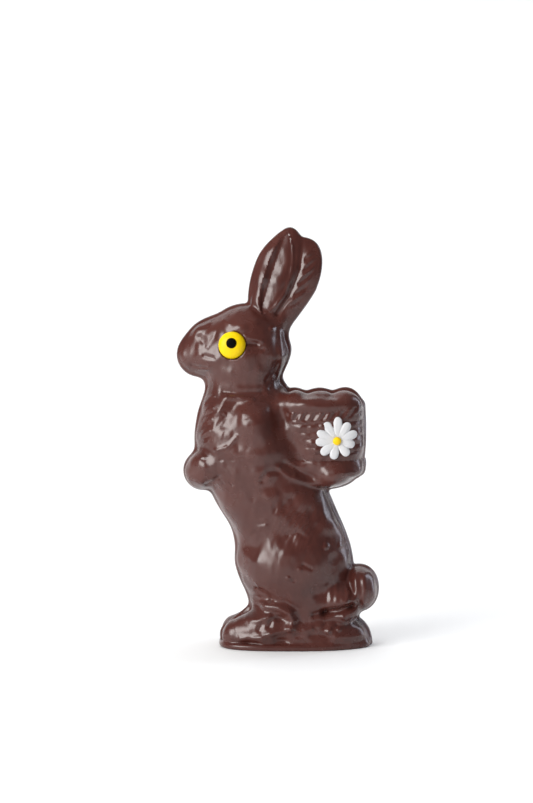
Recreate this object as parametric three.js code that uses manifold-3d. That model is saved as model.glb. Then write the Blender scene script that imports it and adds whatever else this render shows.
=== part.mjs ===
// A moulded chocolate bunny that stands on a rough patch of ground and carries a woven basket of
// eggs on its back. It was cast in a two-part mould that parts on the plane Y = 0, so both flanks
// are alike. Each flank has a domed sugar eye and a royal icing daisy.
// Millimetres, +Z up, the bunny looks along -X, the origin is under the middle of its base.

import * as THREE from 'three';
import { LoftGeometry } from 'three/addons/geometries/LoftGeometry.js';
import { mergeVertices } from 'three/addons/utils/BufferGeometryUtils.js';
import Module from 'manifold-3d';

const wasm = await Module();
wasm.setup();

// ---------------------------------------------------------------------------
// Driving dimensions
// ---------------------------------------------------------------------------

const GAP = 0.3; // air left between a sugar piece and its seat in the chocolate
const LIP = 1.3; // how far the seam of the mould stands out all round
const LIP_HALF = 0.9; // half the thickness of that seam

// The standing body, from the ground up: the height of each level, where its chest and its back
// are, and half its depth from flank to flank.
const BODY_LEVELS = [
  { z: 0, front: -10, back: 27, half: 14.4 }, // inside the ground
  { z: 11, front: -10.6, back: 27.2, half: 15 }, // ankles
  { z: 20, front: -11.8, back: 28.6, half: 16 }, // heel
  { z: 26, front: -14.9, back: 30.1, half: 16.4 },
  { z: 33, front: -17.3, back: 31, half: 16.6 }, // hip
  { z: 41, front: -16.9, back: 29.5, half: 17 },
  { z: 48, front: -18.4, back: 26.9, half: 17.4 },
  { z: 56, front: -23.7, back: 23.3, half: 17.8 }, // belly
  { z: 63, front: -27.3, back: 20.4, half: 17.8 },
  { z: 70, front: -30.4, back: 16, half: 17.6 },
  { z: 78, front: -32.8, back: 12, half: 17.4 }, // chest
  { z: 87, front: -33.1, back: 8.2, half: 16.8 },
  { z: 95, front: -32.2, back: 4.6, half: 15.6 }, // shoulders
  { z: 100, front: -30.2, back: 2.6, half: 14.6 },
  { z: 105, front: -28.8, back: 1.4, half: 13.2 }, // throat
  { z: 110, front: -27, back: 1.6, half: 12.6 },
  { z: 116, front: -22, back: 3, half: 11.8 },
  { z: 121, front: -18, back: 4, half: 10 }, // inside the head
];
const BODY_STEPS = 31;
const BODY_SIDES = 28;
// Shallow locks of fur pressed into the flanks: how far apart up the body, how far they rise
// towards the back, and over what height and depth they come and go.
const FUR = { deep: 0.35, pitch: 9, rise: 7, along: 2.5, up: 13 };

// The head is a round skull that tapers to a round muzzle, under a full forehead.
const SKULL = { x: -12.6, z: 121.2, r: 16.8 };
const MUZZLE = { x: -31.4, z: 117.6, r: 8.8 };
const HEAD_FLAT = 0.87; // depth of the head against its height
const FOREHEAD = { at: [-24.5, 0, 121.2], size: [12.4, 12, 11.4] };

// Both ears are leaves with a hollow face, one behind the other. Below its widest place an ear
// narrows by a power of the way down.
const EARS = [
  {
    base: [-6.2, 130.4], tip: [5, 168.6], half: 9.2, thick: 6,
    widest: 0.45, waist: 0.45, power: 2,
  },
  {
    base: [-5, 118], tip: [13.6, 164.4], half: 9.3, thick: 4.6,
    widest: 0.64, waist: 0.9, power: 1.3,
  },
];
const EAR_THINNER = 0.45; // how much thinner an ear is at its tip than at its root
const EAR_RIDGES = { count: 8, deep: 0.35, rise: 1.1 }; // fur on the ear behind
const TIP_CUT = { at: [-6.2, 160.6], lean: 0.857 }; // the near tip is straight on its front side
const HOLLOW = { from: 0.12, to: 0.93, half: 5, deep: 3.6, out: 6.4 }; // in the ear in front

// The basket on the back: the ground plan at its floor and at its rim.
const BASKET = {
  floor: { z: 68.6, front: 8, back: 34.2, half: 13.4 },
  rim: { z: 100.6, front: -3, back: 34.6, half: 15.8 },
  dip: 1.4, // the rim hangs lower at the flanks
  bulge: 0.7,
  power: 3, // of the oval plan: above 2 it is squared
};
const BASKET_STEPS = 20;
const BASKET_SIDES = 32;
const WEAVE = { rows: 7, stakes: 9, deep: 0.5, over: 0.6, sunk: 0.8 };
const RIM_BAND = { tall: 4.4, proud: 1.1 };
const FLOOR_BAND = { tall: 5.6, proud: 1.1 };
const SADDLE = { x: 19, z: 69.4, size: [13, 13, 6] }; // the pad under the basket
const EGGS = [
  { x: 6.4, z: 98.4, size: [4.8, 9.6, 5.9] },
  { x: 17, z: 98, size: [6.6, 11.6, 6.3] },
  { x: 27.4, z: 98, size: [6.2, 10, 6.4] },
];

// Legs and arms, each as a row of round swellings: place of the middle, half sizes.
const HAUNCH = { at: [5.4, 7.4, 34.4], size: [16.4, 12.8, 15.8] };
const RUMP_TUFTS = [
  { at: [21, 7.6, 41], size: [6, 9, 4.6] },
  { at: [26.6, 3, 17], size: [8.8, 12.4, 9.6] },
];
const UPPER_ARM = { from: [-11.6, 10.6, 89.5], to: [-7, 11, 72], r: [8.2, 7.2] };
const FOREARM = { from: [-5, 10.4, 72], to: [-27.6, 6.6, 72.2], r: [7.2, 6.8] };
const PAW = { at: [-30.2, 3.6, 71.2], size: [7.4, 7.6, 7.8] };
const TAIL = {
  at: [33, 0, 24.2], size: [7.5, 9, 9.2], lobes: 5, lobe: 3.2,
  fan: [-0.9, 1], // where the lobes begin and end, in radians above the level
  out: [4, 6], // how far from the middle they lie, back and up
};

// The ground under the feet: outline, and its sides from the table up as the share of its
// height and how far they are drawn in. The two long feet stand on it.
const GROUND = { front: -23.4, back: 37.8, half: 17, taper: 4.4, tall: 11.8, power: 3 };
const GROUND_SIDES = [
  [0, 0.7], [0.05, 0], [0.17, 0], [0.23, 1.4], [0.45, 1.3], [0.66, 1.9], [0.83, 3.4], [0.94, 5.4],
  [1, 8.4],
];
const GROUND_LUMP = { high: 0.7, fine: 9, coarse: 2 };
const FOOT = { from: [-15.4, 6.4, 6], to: [-4, 6.4, 8.8], r: [6.4, 8.8] };
const TOES = { count: 3, spread: 4, at: [-18.6, 6.8, 5.4], size: [4.4, 2.6, 4.8] };

// Sugar eye: a domed disc with a raised pupil that sits a little above its middle.
const EYE = {
  x: -17.9, z: 121.8, r: 5.4, dome: 2.4, rim: 1.5, out: 12, turn: -0.12, around: 26,
};
const PUPIL = { r: 2.1, dome: 0.9, rim: 0.5, sunk: 0.8, above: 0.8, around: 16 };

// Royal icing daisy: ten petals round a yellow middle.
const DAISY = { x: 23.5, z: 84, out: 14.3, petals: 10, reach: 7.9, width: 3.5, thick: 2 };
const PETAL = { half: 0.56, middle: 0.47, lean: 0.06 }; // half length and middle, of its reach
const PETAL_REACH = [1.14, 1.05, 1.02, 0.87, 0.9, 0.9, 0.98, 1, 1.04, 1.1]; // no two alike
const DAISY_MIDDLE = { r: 1.7, dome: 1.2, rim: 0.6, raised: 1.1, around: 14 };

// Colours
const CHOCOLATE = new THREE.MeshStandardMaterial({ color: 0x4a2a24, roughness: 0.3 });
const YELLOW_SUGAR = new THREE.MeshStandardMaterial({ color: 0xf7dd05, roughness: 0.35 });
const BLACK_SUGAR = new THREE.MeshStandardMaterial({ color: 0x14100f, roughness: 0.3 });
const WHITE_ICING = new THREE.MeshStandardMaterial({ color: 0xf6f4f0, roughness: 0.7 });

// ---------------------------------------------------------------------------
// Joining and cutting
// ---------------------------------------------------------------------------

/** A closed three.js geometry as a solid that can be joined and cut. */
function solid(geometry) {
  const bare = new THREE.BufferGeometry().copy(geometry);
  bare.deleteAttribute('normal');
  bare.deleteAttribute('uv');
  const merged = mergeVertices(bare, 1e-4);
  const index = merged.index.array;
  const kept = [];
  for (let i = 0; i < index.length; i += 3) {
    const [a, b, c] = index.slice(i, i + 3);
    if (a !== b && b !== c && c !== a) kept.push(a, b, c);
  }
  return new wasm.Manifold(new wasm.Mesh({
    numProp: 3,
    vertProperties: Float32Array.from(merged.attributes.position.array),
    triVerts: Uint32Array.from(kept),
  }));
}

/** The same solid on the other flank. */
function mirrored(geometry) {
  const copy = new THREE.BufferGeometry().copy(geometry);
  copy.scale(1, -1, 1);
  const index = copy.index.array;
  for (let i = 0; i < index.length; i += 3) {
    [index[i], index[i + 2]] = [index[i + 2], index[i]];
  }
  return copy;
}

/** Solids of one geometry on both flanks. */
function bothFlanks(geometry) {
  return [solid(geometry), solid(mirrored(geometry))];
}

/** A solid back as a named mesh of the scene. */
function asMesh(name, manifold, material) {
  const { vertProperties, triVerts } = manifold.getMesh();
  const geometry = new THREE.BufferGeometry();
  geometry.setAttribute('position', new THREE.BufferAttribute(vertProperties, 3));
  geometry.setIndex(new THREE.BufferAttribute(triVerts, 1));
  geometry.computeVertexNormals();
  const mesh = new THREE.Mesh(geometry, material);
  mesh.name = name;
  return mesh;
}

// ---------------------------------------------------------------------------
// Shapes
// ---------------------------------------------------------------------------

/** An egg-shaped swelling. */
function swelling({ at, size }, around = 14, over = 8) {
  const ball = new THREE.SphereGeometry(1, around, over);
  ball.scale(size[0], size[1], size[2]);
  ball.translate(at[0], at[1], at[2]);
  return ball;
}

/** A limb: a round bar from one point to another whose radius changes on the way. */
function limb({ from, to, r }, around = 12) {
  const start = new THREE.Vector3(...from);
  const axis = new THREE.Vector3(...to).sub(start);
  const profile = taperedProfile(r[0], r[1], axis.length(), 4);
  const bar = new THREE.LatheGeometry(profile, around);
  const turn = new THREE.Quaternion().setFromUnitVectors(
    new THREE.Vector3(0, 1, 0), axis.normalize());
  bar.applyQuaternion(turn);
  bar.translate(start.x, start.y, start.z);
  return bar;
}

/** Half outline of two balls on one axis with the straight line that touches both. */
function taperedProfile(r0, r1, length, arcSteps) {
  const lean = Math.asin((r0 - r1) / length);
  const points = [];
  for (let i = 0; i <= arcSteps; i++) {
    const a = -Math.PI / 2 + (Math.PI / 2 + lean) * (i / arcSteps);
    points.push(new THREE.Vector2(r0 * Math.cos(a), r0 * Math.sin(a)));
  }
  for (let i = 0; i <= arcSteps; i++) {
    const a = lean + (Math.PI / 2 - lean) * (i / arcSteps);
    points.push(new THREE.Vector2(r1 * Math.cos(a), length + r1 * Math.sin(a)));
  }
  points[0].x = 0;
  points[points.length - 1].x = 0;
  return points;
}

/** A share of -1 to 1 moved outwards, as the sine or cosine of an oval of that power is. */
function squared(share, power) {
  return Math.sign(share) * Math.abs(share) ** (2 / power);
}

/**
 * A ring of a mould half and its twin: an oval of half sizes (along, deep) whose two ends carry
 * the seam. `relief(cos, sin)` adds a little to the oval's radius.
 */
function seamedOval(along, deep, sides, relief = () => 0, power = 2) {
  const points = [];
  for (let i = 0; i < sides; i++) {
    const a = (i / sides) * Math.PI * 2;
    const cos = Math.cos(a);
    const sin = Math.sin(a);
    const more = relief(cos, sin);
    const x = squared(cos, power) * (along - LIP + more);
    const y = squared(sin, power) * (deep + more);
    points.push([Math.abs(y) < LIP_HALF ? x + Math.sign(cos) * LIP : x, y]);
  }
  return points;
}

/** A smooth value read off the list of levels at height z, by a Catmull-Rom curve. */
function levelCurve(levels, key) {
  const curve = new THREE.CatmullRomCurve3(
    levels.map((level) => new THREE.Vector3(level[key], 0, level.z)), false, 'centripetal');
  const points = curve.getPoints(400);
  return (z) => {
    const next = points.findIndex((p) => p.z >= z);
    if (next <= 0) return points[next === 0 ? 0 : points.length - 1].x;
    const [p, q] = [points[next - 1], points[next]];
    return p.x + (q.x - p.x) * ((z - p.z) / (q.z - p.z));
  };
}

/** The body from the ground to the throat. */
function bodyGeometry() {
  const front = levelCurve(BODY_LEVELS, 'front');
  const back = levelCurve(BODY_LEVELS, 'back');
  const half = levelCurve(BODY_LEVELS, 'half');
  const top = BODY_LEVELS.at(-1).z;
  const sections = [];
  for (let i = 0; i <= BODY_STEPS; i++) {
    const z = (top * i) / BODY_STEPS;
    const middle = (front(z) + back(z)) / 2;
    const along = (back(z) - front(z)) / 2;
    const fur = (cos, sin) => {
      const lock = Math.sin((2 * Math.PI * (z + FUR.rise * cos)) / FUR.pitch);
      return FUR.deep * lock * sin * sin * Math.sin(FUR.along * cos + z / FUR.up);
    };
    sections.push(seamedOval(along, half(z), BODY_SIDES, fur)
      .map(([x, y]) => new THREE.Vector3(middle + x, y, z)));
  }
  return new LoftGeometry(sections, { closed: true, capStart: true, capEnd: true });
}

/** The head, a tapered bar from skull to muzzle, flattened from side to side. */
function headGeometry() {
  const head = limb({
    from: [SKULL.x, 0, SKULL.z],
    to: [MUZZLE.x, 0, MUZZLE.z],
    r: [SKULL.r, MUZZLE.r],
  }, 24);
  head.scale(1, HEAD_FLAT, 1);
  return head;
}

/** Half width of an ear at the share t of its length, as a share of its greatest half width. */
function earWidth(t, { widest, waist, power }) {
  if (t < widest) return 1 - waist * ((widest - t) / widest) ** power;
  const u = (t - widest) / (1 - widest);
  return Math.sqrt(Math.max(1 - u * u, 0));
}

/** A leaf along the line from base to tip, made of ovals across it. */
function leafGeometry(ear, steps, sides, ridges = 0) {
  const { base, tip, half, thick } = ear;
  const start = new THREE.Vector3(base[0], 0, base[1]);
  const axis = new THREE.Vector3(tip[0], 0, tip[1]).sub(start);
  const across = new THREE.Vector3(axis.z, 0, -axis.x).normalize();
  const sections = [];
  for (let i = 0; i <= steps; i++) {
    const t = Math.sin((i / steps) * (Math.PI / 2)) * 0.995; // stops short of the sharp tip
    const share = earWidth(t, ear);
    const width = half * share;
    const deep = thick * (1 - EAR_THINNER * t) * Math.sqrt(Math.max(share, 0.02));
    const ripple = (cos, sin) => (cos > 0 ? ridges * share * sin * sin
      * Math.sin(2 * Math.PI * (EAR_RIDGES.count * t - EAR_RIDGES.rise * cos)) : 0);
    sections.push(seamedOval(Math.max(width, LIP + 0.4), deep, sides, ripple)
      .map(([s, y]) => new THREE.Vector3().copy(start)
        .addScaledVector(axis, t).addScaledVector(across, s).setY(y)));
  }
  return new LoftGeometry(sections, { closed: true, capStart: true, capEnd: true });
}

/** What is cut off the near ear so that its tip runs straight down on its front side. */
function tipCutGeometry() {
  const block = new THREE.BoxGeometry(60, 60, 60);
  block.translate(0, 0, 30);
  block.rotateY(-TIP_CUT.lean);
  block.translate(TIP_CUT.at[0], 0, TIP_CUT.at[1]);
  return block;
}

/** What is scooped out of the face of an ear. */
function hollowGeometry({ base, tip }) {
  const from = new THREE.Vector3(base[0], 0, base[1]);
  const to = new THREE.Vector3(tip[0], 0, tip[1]);
  const start = from.clone().lerp(to, HOLLOW.from);
  const length = from.distanceTo(to) * (HOLLOW.to - HOLLOW.from);
  const scoop = new THREE.SphereGeometry(1, 14, 10);
  scoop.scale(HOLLOW.half, HOLLOW.deep, length / 2);
  scoop.rotateY(Math.atan2(to.x - from.x, to.z - from.z));
  const middle = start.lerp(to, 0.5 * (HOLLOW.to - HOLLOW.from) / (1 - HOLLOW.from));
  scoop.translate(middle.x, -HOLLOW.out, middle.z);
  return scoop;
}

/** The basket: an oval tub that widens to its rim, with woven sides and a twisted rim. */
function basketGeometry() {
  const { floor, rim, dip, bulge } = BASKET;
  const sections = [];
  for (let i = 0; i <= BASKET_STEPS; i++) {
    const t = i / BASKET_STEPS;
    const z = floor.z + (rim.z - floor.z) * t;
    const front = floor.front + (rim.front - floor.front) * t;
    const back = floor.back + (rim.back - floor.back) * t;
    const belly = bulge * Math.sin(Math.PI * t);
    const half = floor.half + (rim.half - floor.half) * t + belly;
    const along = (back - front) / 2 + belly;
    const inRim = z > rim.z - RIM_BAND.tall;
    const inFloor = z < floor.z + FLOOR_BAND.tall;
    const band = inRim
      ? RIM_BAND.proud * Math.sin((Math.PI * (rim.z - z)) / RIM_BAND.tall)
      : FLOOR_BAND.proud * Math.sin((Math.PI * (z - floor.z)) / FLOOR_BAND.tall);
    const sides = (cos, sin) => {
      if (inRim || inFloor) return band;
      const row = WEAVE.rows * t;
      const over = Math.cos(WEAVE.stakes * Math.atan2(sin, cos) + Math.PI * Math.floor(row));
      return WEAVE.deep * (Math.sin(Math.PI * (row % 1)) * (1 + WEAVE.over * over) - WEAVE.sunk);
    };
    const middle = (front + back) / 2;
    sections.push(seamedOval(along, half, BASKET_SIDES, sides, BASKET.power)
      .map(([x, y]) => new THREE.Vector3(middle + x, y, z - dip * t * (y / half) ** 2)));
  }
  return new LoftGeometry(sections, { closed: true, capStart: true, capEnd: true });
}

/**
 * The ground: a low patch with a lumpy shoulder over a thin ledge. Its plan is a squared oval
 * that grows shallower towards the tail.
 */
function groundGeometry() {
  const middle = (GROUND.front + GROUND.back) / 2;
  const along = (GROUND.back - GROUND.front) / 2;
  const sides = 32;
  const sections = GROUND_SIDES.map(([share, inward]) => {
    const ring = [];
    for (let i = 0; i < sides; i++) {
      const a = (i / sides) * Math.PI * 2;
      const cos = squared(Math.cos(a), GROUND.power);
      const sin = squared(Math.sin(a), GROUND.power);
      const lump = share > 0.3
        ? GROUND_LUMP.high * Math.sin(GROUND_LUMP.fine * a) * Math.sin(GROUND_LUMP.coarse * a) : 0;
      const half = GROUND.half - GROUND.taper * Math.max(cos, 0) ** 2;
      ring.push(new THREE.Vector3(
        middle + (along - inward + Math.min(lump, inward)) * cos,
        (half - inward + lump) * sin,
        GROUND.tall * share));
    }
    return ring;
  });
  return new LoftGeometry(sections, { closed: true, capStart: true, capEnd: true });
}

/** A sugar button whose flat back lies on Y = 0 and whose dome rises along -Y. */
function buttonGeometry({ r, dome, rim }, around, grow = 0) {
  const edge = r + grow;
  const arcSteps = 4;
  const profile = [new THREE.Vector2(0, -grow), new THREE.Vector2(edge * 0.94, -grow)];
  for (let i = 0; i <= arcSteps; i++) {
    const a = (i / arcSteps) * (Math.PI / 2);
    const up = rim / 2 + (rim / 2 + dome + grow) * Math.sin(a);
    profile.push(new THREE.Vector2(edge * Math.cos(a), up));
  }
  profile[profile.length - 1].x = 0;
  const button = new THREE.LatheGeometry(profile, around);
  button.rotateX(Math.PI);
  return button;
}

/** Ten petals in one piece, flat back on Y = 0; `grow` makes the seat that is cut for them. */
function daisySolid(grow = 0) {
  const petals = [];
  for (let i = 0; i < DAISY.petals; i++) {
    const reach = DAISY.reach * PETAL_REACH[i];
    const petal = new THREE.SphereGeometry(1, 8, 4);
    petal.scale(DAISY.width / 2 + grow, DAISY.thick / 2 + grow, reach * PETAL.half + grow);
    petal.rotateX(-PETAL.lean);
    petal.translate(0, -DAISY.thick / 2, reach * PETAL.middle);
    petal.rotateY((i / DAISY.petals) * Math.PI * 2);
    petals.push(solid(petal));
  }
  return wasm.Manifold.union(petals);
}

// ---------------------------------------------------------------------------
// The chocolate, one piece
// ---------------------------------------------------------------------------

function chocolateSolid() {
  const lobes = Array.from({ length: TAIL.lobes }, (_, i) => {
    const a = TAIL.fan[0] + ((TAIL.fan[1] - TAIL.fan[0]) * i) / (TAIL.lobes - 1);
    return swelling({
      at: [
        TAIL.at[0] + TAIL.out[0] * Math.cos(a), 0, TAIL.at[2] + TAIL.out[1] * Math.sin(a),
      ],
      size: [TAIL.lobe, TAIL.size[1] * 0.8, TAIL.lobe],
    }, 8, 6);
  });
  const toes = Array.from({ length: TOES.count }, (_, i) => swelling({
    at: [TOES.at[0], TOES.at[1] + (i - 1) * TOES.spread, TOES.at[2]], size: TOES.size,
  }, 8, 6));
  const body = wasm.Manifold.union([
    solid(bodyGeometry()),
    solid(headGeometry()),
    solid(swelling(FOREHEAD, 16, 10)),
    solid(leafGeometry(EARS[0], 13, 14)).subtract(solid(tipCutGeometry())),
    solid(leafGeometry(EARS[1], 15, 14, EAR_RIDGES.deep)),
    solid(basketGeometry()),
    solid(groundGeometry()),
    solid(swelling({ at: [SADDLE.x, 0, SADDLE.z], size: SADDLE.size }, 16, 8)),
    solid(swelling(TAIL)),
    ...lobes.map(solid),
    ...EGGS.map((egg) => solid(swelling({ at: [egg.x, 0, egg.z], size: egg.size }, 12, 8))),
    ...bothFlanks(swelling(HAUNCH, 18, 12)),
    ...RUMP_TUFTS.flatMap((tuft) => bothFlanks(swelling(tuft, 10, 6))),
    ...bothFlanks(limb(UPPER_ARM)),
    ...bothFlanks(limb(FOREARM)),
    ...bothFlanks(swelling(PAW, 12, 8)),
    ...bothFlanks(limb(FOOT)),
    ...toes.flatMap(bothFlanks),
  ]);
  const below = new THREE.BoxGeometry(200, 200, 20);
  below.translate(0, 0, -10);
  return body
    .subtract(solid(below))
    .subtract(wasm.Manifold.union(bothFlanks(hollowGeometry(EARS[0]))));
}

/** A sugar button set on a flank: `side` is -1 for the bunny's left and +1 for its right. */
function placed(geometry, side, spec, turn = 0) {
  geometry.rotateZ(turn);
  geometry.translate(spec.x, -spec.out, spec.z);
  return side < 0 ? geometry : mirrored(geometry);
}

/** A joined solid set on a flank in the same way. */
function placedSolid(manifold, side, spec) {
  const there = manifold.translate([spec.x, -spec.out, spec.z]);
  return side < 0 ? there : there.mirror([0, 1, 0]);
}

const bunny = new THREE.Group();
let chocolate = chocolateSolid();
for (const [side, word] of [[-1, 'left'], [1, 'right']]) {
  const pupilPlace = {
    x: EYE.x, z: EYE.z + PUPIL.above, out: EYE.out + EYE.rim + EYE.dome - PUPIL.sunk,
  };
  const eyeSeat = solid(placed(buttonGeometry(EYE, EYE.around, GAP), side, EYE, EYE.turn));
  const eye = solid(placed(buttonGeometry(EYE, EYE.around), side, EYE, EYE.turn));
  const pupilSeat = solid(placed(buttonGeometry(PUPIL, PUPIL.around, GAP), side, pupilPlace, EYE.turn));
  const pupil = solid(placed(buttonGeometry(PUPIL, PUPIL.around), side, pupilPlace, EYE.turn));
  const middlePlace = { ...DAISY, out: DAISY.out + DAISY_MIDDLE.raised };
  const petals = placedSolid(daisySolid(), side, DAISY);
  const petalSeat = placedSolid(daisySolid(GAP), side, DAISY);
  const middleSeat = solid(
    placed(buttonGeometry(DAISY_MIDDLE, DAISY_MIDDLE.around, GAP), side, middlePlace));
  const middle = solid(placed(buttonGeometry(DAISY_MIDDLE, DAISY_MIDDLE.around), side, middlePlace));
  chocolate = chocolate.subtract(eyeSeat).subtract(petalSeat);
  bunny.add(asMesh(`eye_${word}`, eye.subtract(pupilSeat), YELLOW_SUGAR));
  bunny.add(asMesh(`pupil_${word}`, pupil, BLACK_SUGAR));
  bunny.add(asMesh(`daisy_petals_${word}`, petals.subtract(middleSeat), WHITE_ICING));
  bunny.add(asMesh(`daisy_middle_${word}`, middle, YELLOW_SUGAR));
}
bunny.add(asMesh('bunny', chocolate, CHOCOLATE));

export default bunny;
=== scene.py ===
import bpy
import numpy as np
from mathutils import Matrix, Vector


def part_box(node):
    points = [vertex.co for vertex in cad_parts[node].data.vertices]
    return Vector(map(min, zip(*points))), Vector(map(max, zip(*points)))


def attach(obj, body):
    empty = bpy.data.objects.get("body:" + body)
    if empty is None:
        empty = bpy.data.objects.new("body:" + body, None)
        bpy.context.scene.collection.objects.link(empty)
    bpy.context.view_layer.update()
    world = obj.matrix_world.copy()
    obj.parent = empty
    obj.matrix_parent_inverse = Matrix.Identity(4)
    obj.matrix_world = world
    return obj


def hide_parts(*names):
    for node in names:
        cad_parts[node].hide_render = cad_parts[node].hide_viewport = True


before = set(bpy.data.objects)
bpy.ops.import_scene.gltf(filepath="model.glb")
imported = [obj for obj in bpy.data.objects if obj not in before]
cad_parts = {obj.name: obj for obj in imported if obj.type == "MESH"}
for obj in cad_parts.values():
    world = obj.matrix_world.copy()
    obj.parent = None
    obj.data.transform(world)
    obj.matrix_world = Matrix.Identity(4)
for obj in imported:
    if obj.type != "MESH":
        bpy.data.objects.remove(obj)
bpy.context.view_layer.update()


# ---------------------------------------------------------------------------------------------
# The bunny itself: one piece of dark chocolate cast in a two-part mould that parts along its
# length, so its two flanks are alike and a flat seam runs round its whole outline. Every form is
# a distance in millimetres, below zero inside the chocolate; X runs from nose to basket, Z up.
# ---------------------------------------------------------------------------------------------

MM = 0.001

SEAM_WIDE = 0.8        # how far the flat seam stands out from the carved body all round
SEAM_HALF = 1.4        # half its thickness
SEAM_FILLET = 1.9      # reach of the fillet between body and seam
SEAM_SOFT = ((2, 4), (31, 6), (94, 4), 2.2)     # wider fillet over the eggs: from x, to x, from
                                                # z, each with its run-in, and how much wider


def blend_in(a, b, reach):
    """The lesser of two distances, rounded: less the square of how far they are closer than
    reach, over four times reach."""
    near = np.clip(reach - np.abs(a - b), 0, None)
    return np.minimum(a, b) - near * near / (4 * reach)


def cut_back(a, b, reach):
    """The greater of two distances, rounded in the same way: what lies in both forms."""
    return -blend_in(-a, -b, reach)


def oval(*pairs, power=2.0):
    """Distance to an oval given as pairs of offset and half size: with s the power mean of the
    offsets over the half sizes, (s - 1) over the slope of s. A power above 2 squares it up."""
    shares = [np.abs(o / h) + 1e-6 for o, h in pairs]
    s = sum(k ** power for k in shares) ** (1 / power)
    slope = np.sqrt(sum((k ** (power - 1) / h) ** 2 for k, (_, h) in zip(shares, pairs)))
    return (s - 1) * s ** (power - 1) / slope


def swelling(x, y, z, at, half, power=2.0):
    """An egg-shaped swelling with its middle at `at`, the same on both flanks."""
    return oval((x - at[0], half[0]), (np.maximum(np.abs(y) - at[1], 0), half[1]),
                (z - at[2], half[2]), power=power)


def limb(x, y, z, start, end, r_start, r_end):
    """A bar with round ends: distance to the nearest point of its axis, less a radius that
    changes evenly from one end to the other."""
    axis = np.subtract(end, start)
    off = (x - start[0], np.abs(y) - start[1], z - start[2])
    t = np.clip(sum(o * a for o, a in zip(off, axis)) / (axis @ axis), 0, 1)
    far = np.sqrt(sum((o - t * a) ** 2 for o, a in zip(off, axis)))
    return far - (r_start + (r_end - r_start) * t)


# The standing body: height of each level, its chest, its back, half its depth.
BODY_LEVELS = np.array([
    (0, -10, 27, 14), (11, -10.6, 27.2, 14.6), (20, -11.8, 28.6, 15.4), (26, -14.9, 30.1, 15.6),
    (33, -17.3, 31, 15.6), (41, -16.9, 29.5, 15.8), (48, -18.4, 26.9, 16.8),
    (56, -23.7, 23.3, 17), (63, -27.3, 20.4, 16.8), (70, -30.4, 16, 16.8),
    (78, -33.3, 12, 17.2), (87, -33.3, 8.2, 16.6), (95, -32, 4.4, 15.2),
    (100, -30, 2, 14), (105, -28.6, 0.8, 12.8),
    (110, -27, 1, 12.4), (116, -22, 3, 11.6), (121, -18, 4, 10)])
LEVEL_EVEN = 2.2            # millimetres over which the levels are evened out
LEVEL_STEP = 0.2
LEVEL_Z = np.arange(-12, 134, LEVEL_STEP)


def level_curve(z, column):
    """A smooth curve past one column of the levels: straight from level to level, then averaged
    under a bell curve."""
    straight = np.interp(LEVEL_Z, BODY_LEVELS[:, 0], BODY_LEVELS[:, column])
    reach = np.arange(-8, 8.1, LEVEL_STEP)
    bell = np.exp(-0.5 * (reach / LEVEL_EVEN) ** 2)
    padded = np.pad(straight, len(reach) // 2, mode="edge")
    return np.interp(z, LEVEL_Z, np.convolve(padded, bell / bell.sum(), mode="valid"))


def body_form(x, y, z):
    """Level ovals from the ground to the inside of the head, a little squared at the flanks."""
    front, back, half = (level_curve(z, c) for c in (1, 2, 3))
    side = oval((x - (front + back) / 2, (back - front) / 2), (y, half + SEAM_WIDE), power=2.3)
    return cut_back(side, z - BODY_LEVELS[-1, 0], 6)


# Head: middle and radius of the ball of the skull and of the muzzle, how flat both are from
# side to side, then its swellings, each with its middle and half sizes.
SKULL = (-12.6, 121.2)
SKULL_R = 16.8
MUZZLE = (-31.4, 117.6)
MUZZLE_R = 8.9
HEAD_FLAT = 0.89
FOREHEAD = ((-24.5, 0, 121.2), (12.4, 18.0, 11.4))
JAW = ((-14.4, 0, 114.0), (13.0, 14.6, 11.6))
CHEEK = ((-27, 10.0, 121), (-0.404, 0.907, 0.122))     # a point of the flat side of the nose,
                                                       # and the way that side faces


def head_form(x, y, z):
    """Two balls and the cone that touches both, flattened from side to side: past either end of
    the cone the distance is to that ball, between them to the cone's straight side. Forehead and
    jaw are swellings on it, and a plane cuts the side of the nose flat."""
    axis = np.subtract(MUZZLE, SKULL)
    length = np.hypot(*axis)
    axis = axis / length
    along = (x - SKULL[0]) * axis[0] + (z - SKULL[1]) * axis[1]
    off = (x - SKULL[0]) * axis[1] - (z - SKULL[1]) * axis[0]
    out = np.sqrt(off ** 2 + (y / HEAD_FLAT) ** 2)
    lean = (SKULL_R - MUZZLE_R) / length
    rise = np.sqrt(1 - lean * lean)
    place = along * rise - out * lean
    skull = np.hypot(out, along) - SKULL_R
    muzzle = np.hypot(out, along - length) - MUZZLE_R
    cone = out * rise + along * lean - SKULL_R
    ball = np.where(place < 0, skull, np.where(place > length * rise, muzzle, cone))
    full = blend_in(blend_in(ball, swelling(x, y, z, *FOREHEAD), 3), swelling(x, y, z, *JAW), 4)
    (x0, y0, z0), (nx, ny, nz) = CHEEK
    flat = (x - x0) * nx + (np.abs(y) - y0) * ny + (z - z0) * nz - SEAM_WIDE
    return cut_back(full, flat, 3)


# Ears: root, tip, half width, thickness, widest place, how much and how fast the waist narrows,
# how square the section is.
EAR_NEAR = ((-6.2, 130.4), (5.0, 168.0), 9.2, 5.6, 0.45, 0.45, 2.0, 2.2)
EAR_FAR = ((-5.0, 118.0), (12.7, 163.4), 9.0, 4.2, 0.64, 0.96, 1.24, 2.2)
TIP_CUT = ((-6.2, 160.6), (-0.654, 0.757))      # the near tip is straight on its front side


def ear_place(x, z, ear):
    """Share of the ear's length, and the offset across it towards the back."""
    (x0, z0), (x1, z1) = ear[:2]
    length = np.hypot(x1 - x0, z1 - z0)
    ux, uz = (x1 - x0) / length, (z1 - z0) / length
    return ((x - x0) * ux + (z - z0) * uz) / length, (x - x0) * uz - (z - z0) * ux, length


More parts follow.
